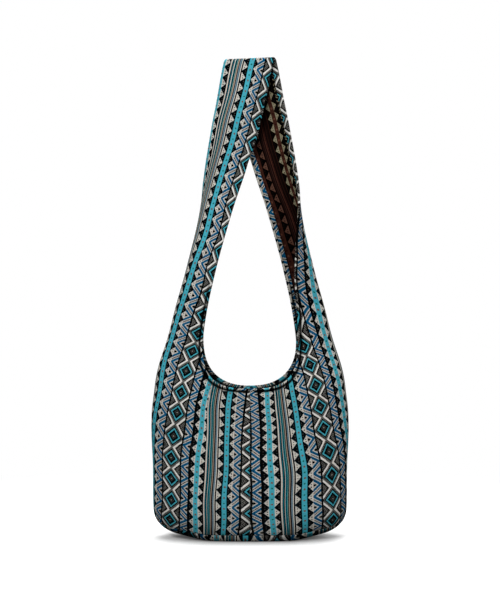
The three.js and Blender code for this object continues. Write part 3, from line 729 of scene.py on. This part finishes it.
def right_cloth(span, along):
    """Where the cloth lies on the right panel, counted from its back: as the span grows to the front, the
    coordinate across the bands falls. Near the middle of the front its cross threads lag behind upwards."""
    toward_front = round_corner(span, along)
    on_strap = eased(along, 0, (1, 430, 600))
    side_stripe = (eased(along, 2, (22.5, 85, 225)) * (1 - on_strap) + STRAP_STRIPE * on_strap
                   + 4.8 * hump(along - 380, 42))
    on_body = eased(along, 0, (1, 350, 300))
    beside_stripe = side_stripe + eased(along, DIAMONDS_APART, (11, 340, 430), (-11, 520, 650))
    diamonds = beside_stripe * (1 - on_body) + eased(along, 43.5, (21.5, 80, 230)) * on_body
    right_stripe = eased(along, 91.3, (12, 95, 215), (1, 215, 245))
    left_stripe = eased(along, 141.5, (5.3, 50, 180), (-4, 200, 245))
    strap_edge = -strap_span(np.maximum(along, SHOULDER_HEIGHT))
    full_edge = side_stripe - BACK_EDGE_APART
    back_edge = full_edge + (strap_edge - full_edge) * eased(along, 0, (1, 320, 380))
    places = [back_edge, side_stripe, diamonds, right_stripe, left_stripe,
              np.full_like(span, RIGHT_SEAM_SPAN)]
    marks = [TRIANGLES_LEFT + REPEAT_ACROSS + BACK_EDGE_MARK, TRIANGLES_LEFT + REPEAT_ACROSS,
             DIAMONDS + REPEAT_ACROSS, TRIANGLES_RIGHT, TRIANGLES_LEFT, RIGHT_SEAM_MARK]
    heights = [0, 30.8, 65.6, 103.2, 140.2, 177.7, 210.5, 244.5, 277, 305, 360, 780]
    repeats = [-0.9, 0, 1, 2, 3, 4, 5, 6, 7, 8, 9.54, 21.9]
    to_front = 1 - (1 - np.clip((toward_front - diamonds) / LAG_REACH, 0, 1)) ** 2
    lengthwise = (REPEAT_ALONG * np.interp(along, heights, repeats) + weft_drop(span, diamonds, along)
                  + FRONT_LAG * (along - LAG_FROM) * to_front * on_body
                  + RIGHT_GATHER * gathered(toward_front, along))
    return carry(toward_front, places, marks) + wander(span, along), lengthwise


right_panel = panel("right_panel_cloth", BACK_SQUARENESS, FRONT_SQUARENESS, right_cloth, right_dart, True)
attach(right_panel, "root")
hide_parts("right_panel")

# Base panel. An oval of the same cloth with the bands running front to back, sewn to the bottom edges of both
# panels. It turns up at its rim to meet them and lies flat on the floor.
RIM_STEPS = np.array([0, 0.2, 0.6, 1.2, 1.8]) / BASE_SEAM_FRONT
RISING_RINGS, FLOOR_RINGS = 15, 24
SIDE_SEAM_EXTRA = 0.15
BASE_STRIPE, BASE_STRETCH_LEFT, BASE_STRETCH_RIGHT = -7.8, 0.976, 1.15


def base_cloth():
    """A closed dish: rings that carry the panels' curve on from the seam down to the floor, then rings that
    shrink to the middle there, and the same again one cloth thickness higher for the inside."""
    drops = np.append(RIM_STEPS, np.linspace(RIM_STEPS[-1], 1, RISING_RINGS + 1)[1:])[:, None]
    edge = edge_line(FRONT_SQUARENESS, FRONT_EDGE_EXTRA)
    half_span, half_along = half_grid(tuple(value[:1] for value in edge),
                                      np.array([BASE_SEAM_SIDE + SIDE_SEAM_EXTRA]), np.zeros(1))
    seam_span = np.append(-half_span[0], half_span[0, -2::-1])[None, :]
    seam_along = np.append(half_along[0], half_along[0, -2::-1])[None, :] - SEAM_GAP
    along = seam_along * (1 - drops)
    full_span = span_to(np.full_like(seam_along, SEAM_GAP / 2), seam_along)
    base = place(seam_span * span_to(np.zeros_like(along), along) / full_span, along)
    normal = np.cross(np.gradient(base, axis=0), np.gradient(base, axis=1))
    normal = -normal / np.linalg.norm(normal, axis=-1, keepdims=True)
    normal[-1] = [0, 0, -1]
    round_ = CLOTH / 2
    sunk = round_ - np.sqrt(round_ ** 2 - np.maximum(round_ - (seam_along - along), 0) ** 2)
    shrink = np.linspace(1, 0, FLOOR_RINGS + 1)[1:-1, None, None]

    def dish(half, floor_level):
        """Closes half rings with the same half turned round, and adds the rings on the floor."""
        half[-1, :, 2] = floor_level
        half[:, [0, -1], 0] = 0
        whole = np.concatenate([half[:, :-1], half[:, :-1] * HALF_TURN], axis=1)
        return np.concatenate([whole, whole[-1:] * ([1, 1, 0] * shrink + [0, 0, 1])])

    outside = dish(base - normal * sunk[..., None], 0)
    inside = dish(base - normal * (CLOTH - sunk)[..., None], CLOTH)

    # Both dishes share the outermost ring. A fan of triangles closes each in the middle.
    rings, count = outside.shape[:2]
    number = np.arange(rings * count).reshape(rings, count)
    inner = np.vstack([number[:1], number[1:] - count + rings * count])
    total = rings * count + (rings - 1) * count
    faces = ((number, total, 1), (inner, total + 1, -1))
    quads = np.vstack([cells(np.hstack([grid, grid[:, :1]]).T)[:, ::turn] for grid, _, turn in faces])
    tips = np.vstack([np.stack([grid[-1], np.roll(grid[-1], -1), np.full(count, tip)], -1)[:, ::turn]
                      for grid, tip, turn in faces])
    points = np.vstack([outside.reshape(-1, 3), inside[1:].reshape(-1, 3), [[0, 0, 0], [0, 0, CLOTH]]])
    from_stripe = points[:, 0] - BASE_STRIPE
    stretch = np.where(from_stripe < 0, BASE_STRETCH_LEFT, BASE_STRETCH_RIGHT)
    flat = np.stack([TRIANGLES_RIGHT + from_stripe / stretch, points[:, 1]], -1)
    loops = np.concatenate([quads.ravel(), tips.ravel()])
    wrong_side = np.concatenate([np.repeat([0, 1], len(quads) // 2), np.repeat([0, 1], count)])
    return cloth_piece("base_panel_cloth", points, [*quads.tolist(), *tips.tolist()], flat[loops], wrong_side)


base_panel = base_cloth()
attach(base_panel, "root")
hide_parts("base_panel")

# Studio. A white paper floor takes the bag's soft shadow from the lamps and a painted contact shadow, darkest
# under its middle, and goes over into a white surround. A large soft lamp stands to the left above the
# camera, a weaker one to the right, a wide one overhead and one behind. Lengths here are in metres.
FLOOR_HALF = 6
PAPER_WHITE, PAPER_GLOW, FADE_FROM, FADE_TO = 0.96, 0.15, 0.3, 0.9
# The painted contact shadow: how far it reaches and its power, and how dark it gets under the middle and at
# the ends.
CONTACT_REACH, CONTACT_POWER = 0.045, 1.8
MIDDLE_HALF, END_HALF, DARK_MIDDLE, DARK_ENDS = 0.06, 0.16, 0.22, 0.75
SURROUND_LIGHT = 0.1
LAMPS = (  # name, stand, size, watts, tilt and swing in degrees
    ("key_lamp", (-1.0, -2.1, 1.6), 0.9, 57, 62, -26),
    ("fill_lamp", (1.7, -1.8, 1.2), 1.6, 30, 72, 43),
    ("overhead_lamp", (0, 0.4, 2.6), 2.0, 60, 0, 0),
    ("back_lamp", (0.9, 2.0, 1.3), 1.4, 30, 67, 156),
)
floor_mesh = bpy.data.meshes.new("studio_floor")
floor_corners = [(x * FLOOR_HALF, y * FLOOR_HALF, 0) for x, y in ((-1, -1), (1, -1), (1, 1), (-1, 1))]
floor_mesh.from_pydata(floor_corners, [], [(0, 1, 2, 3)])
floor = bpy.data.objects.new("studio_floor", floor_mesh)
bpy.context.scene.collection.objects.link(floor)
paper = bpy.data.materials.new("studio_paper")
paper.use_nodes = True
paper_tree = paper.node_tree
paper_tree.nodes.clear()
seen = node(paper_tree, "LightPath", out=0)
dim = node(paper_tree, "BsdfDiffuse", linear("#181818"))
floor_place = node(paper_tree, "TexCoord", out=3)
sideways = node(paper_tree, "Math.ABSOLUTE", node(paper_tree, "SeparateXYZ", floor_place))
darkest = node(paper_tree, "MapRange", sideways, MIDDLE_HALF, END_HALF, DARK_MIDDLE, DARK_ENDS)
# Painted contact shadow: ambient occlusion darkens the paper near the bag, more under its middle than at its
# ends.
painted_contact_shadow = node(paper_tree, "AmbientOcclusion", {"Distance": CONTACT_REACH}, out="AO")
painted_contact_shadow = node(paper_tree, "Math.POWER", painted_contact_shadow, CONTACT_POWER)
painted_contact_shadow = node(paper_tree, "MapRange", painted_contact_shadow, 0, 1, darkest, PAPER_WHITE)
near = node(paper_tree, "AddShader", node(paper_tree, "BsdfDiffuse", painted_contact_shadow),
            node(paper_tree, "Emission", painted_contact_shadow, PAPER_GLOW))
white = node(paper_tree, "Emission", linear("#FFFFFF"), 1)
distance = node(paper_tree, "VectorMath.LENGTH", floor_place, out=1)
fade = node(paper_tree, "MapRange", distance, FADE_FROM, FADE_TO, 0, 1, interpolation_type="SMOOTHSTEP")
for_camera = node(paper_tree, "MixShader", fade, near, white)
node(paper_tree, "OutputMaterial", node(paper_tree, "MixShader", seen, dim, for_camera))
floor_mesh.materials.append(paper)

world = bpy.data.worlds.new("studio_surround")
world.use_nodes = True
world_tree = world.node_tree
world_tree.nodes.clear()
rays = node(world_tree, "LightPath", out=0)
direct = node(world_tree, "Math.MAXIMUM", rays, rays.node.outputs["Is Glossy Ray"])
direct = node(world_tree, "Math.MAXIMUM", direct, rays.node.outputs["Is Transmission Ray"])
strength = node(world_tree, "Math.MULTIPLY_ADD", direct, 1 - SURROUND_LIGHT, SURROUND_LIGHT)
node(world_tree, "OutputWorld", node(world_tree, "Background", linear("#FFFFFF"), strength))
bpy.context.scene.world = world

for name, stand, size, watts, tilt, swing in LAMPS:
    lamp = bpy.data.lights.new(name, "AREA")
    lamp.size, lamp.energy = size, watts
    lamp_object = bpy.data.objects.new(name, lamp)
    lamp_object.location, lamp_object.rotation_euler = stand, np.radians((tilt, 0, swing))
    bpy.context.scene.collection.objects.link(lamp_object)

# Camera. It stands level, square in front of the bag, about as far away as the photo's perspective shows.
# The picture is 500 by 600, and its middle looks at the bag a little below half its height.
CAMERA_DISTANCE = 2.2
CAMERA_HEIGHT = 0.379
FOCAL_IN_IMAGE_HEIGHTS = 1375 / 600
camera = bpy.data.objects.new("camera", bpy.data.cameras.new("camera"))
camera.data.sensor_fit = "VERTICAL"
camera.data.lens = FOCAL_IN_IMAGE_HEIGHTS * camera.data.sensor_height
camera.location = (0, -CAMERA_DISTANCE, CAMERA_HEIGHT)
camera.rotation_euler = (np.pi / 2, 0, 0)
bpy.context.scene.collection.objects.link(camera)
bpy.context.scene.camera = camera
bpy.context.scene.view_settings.view_transform = "Standard"
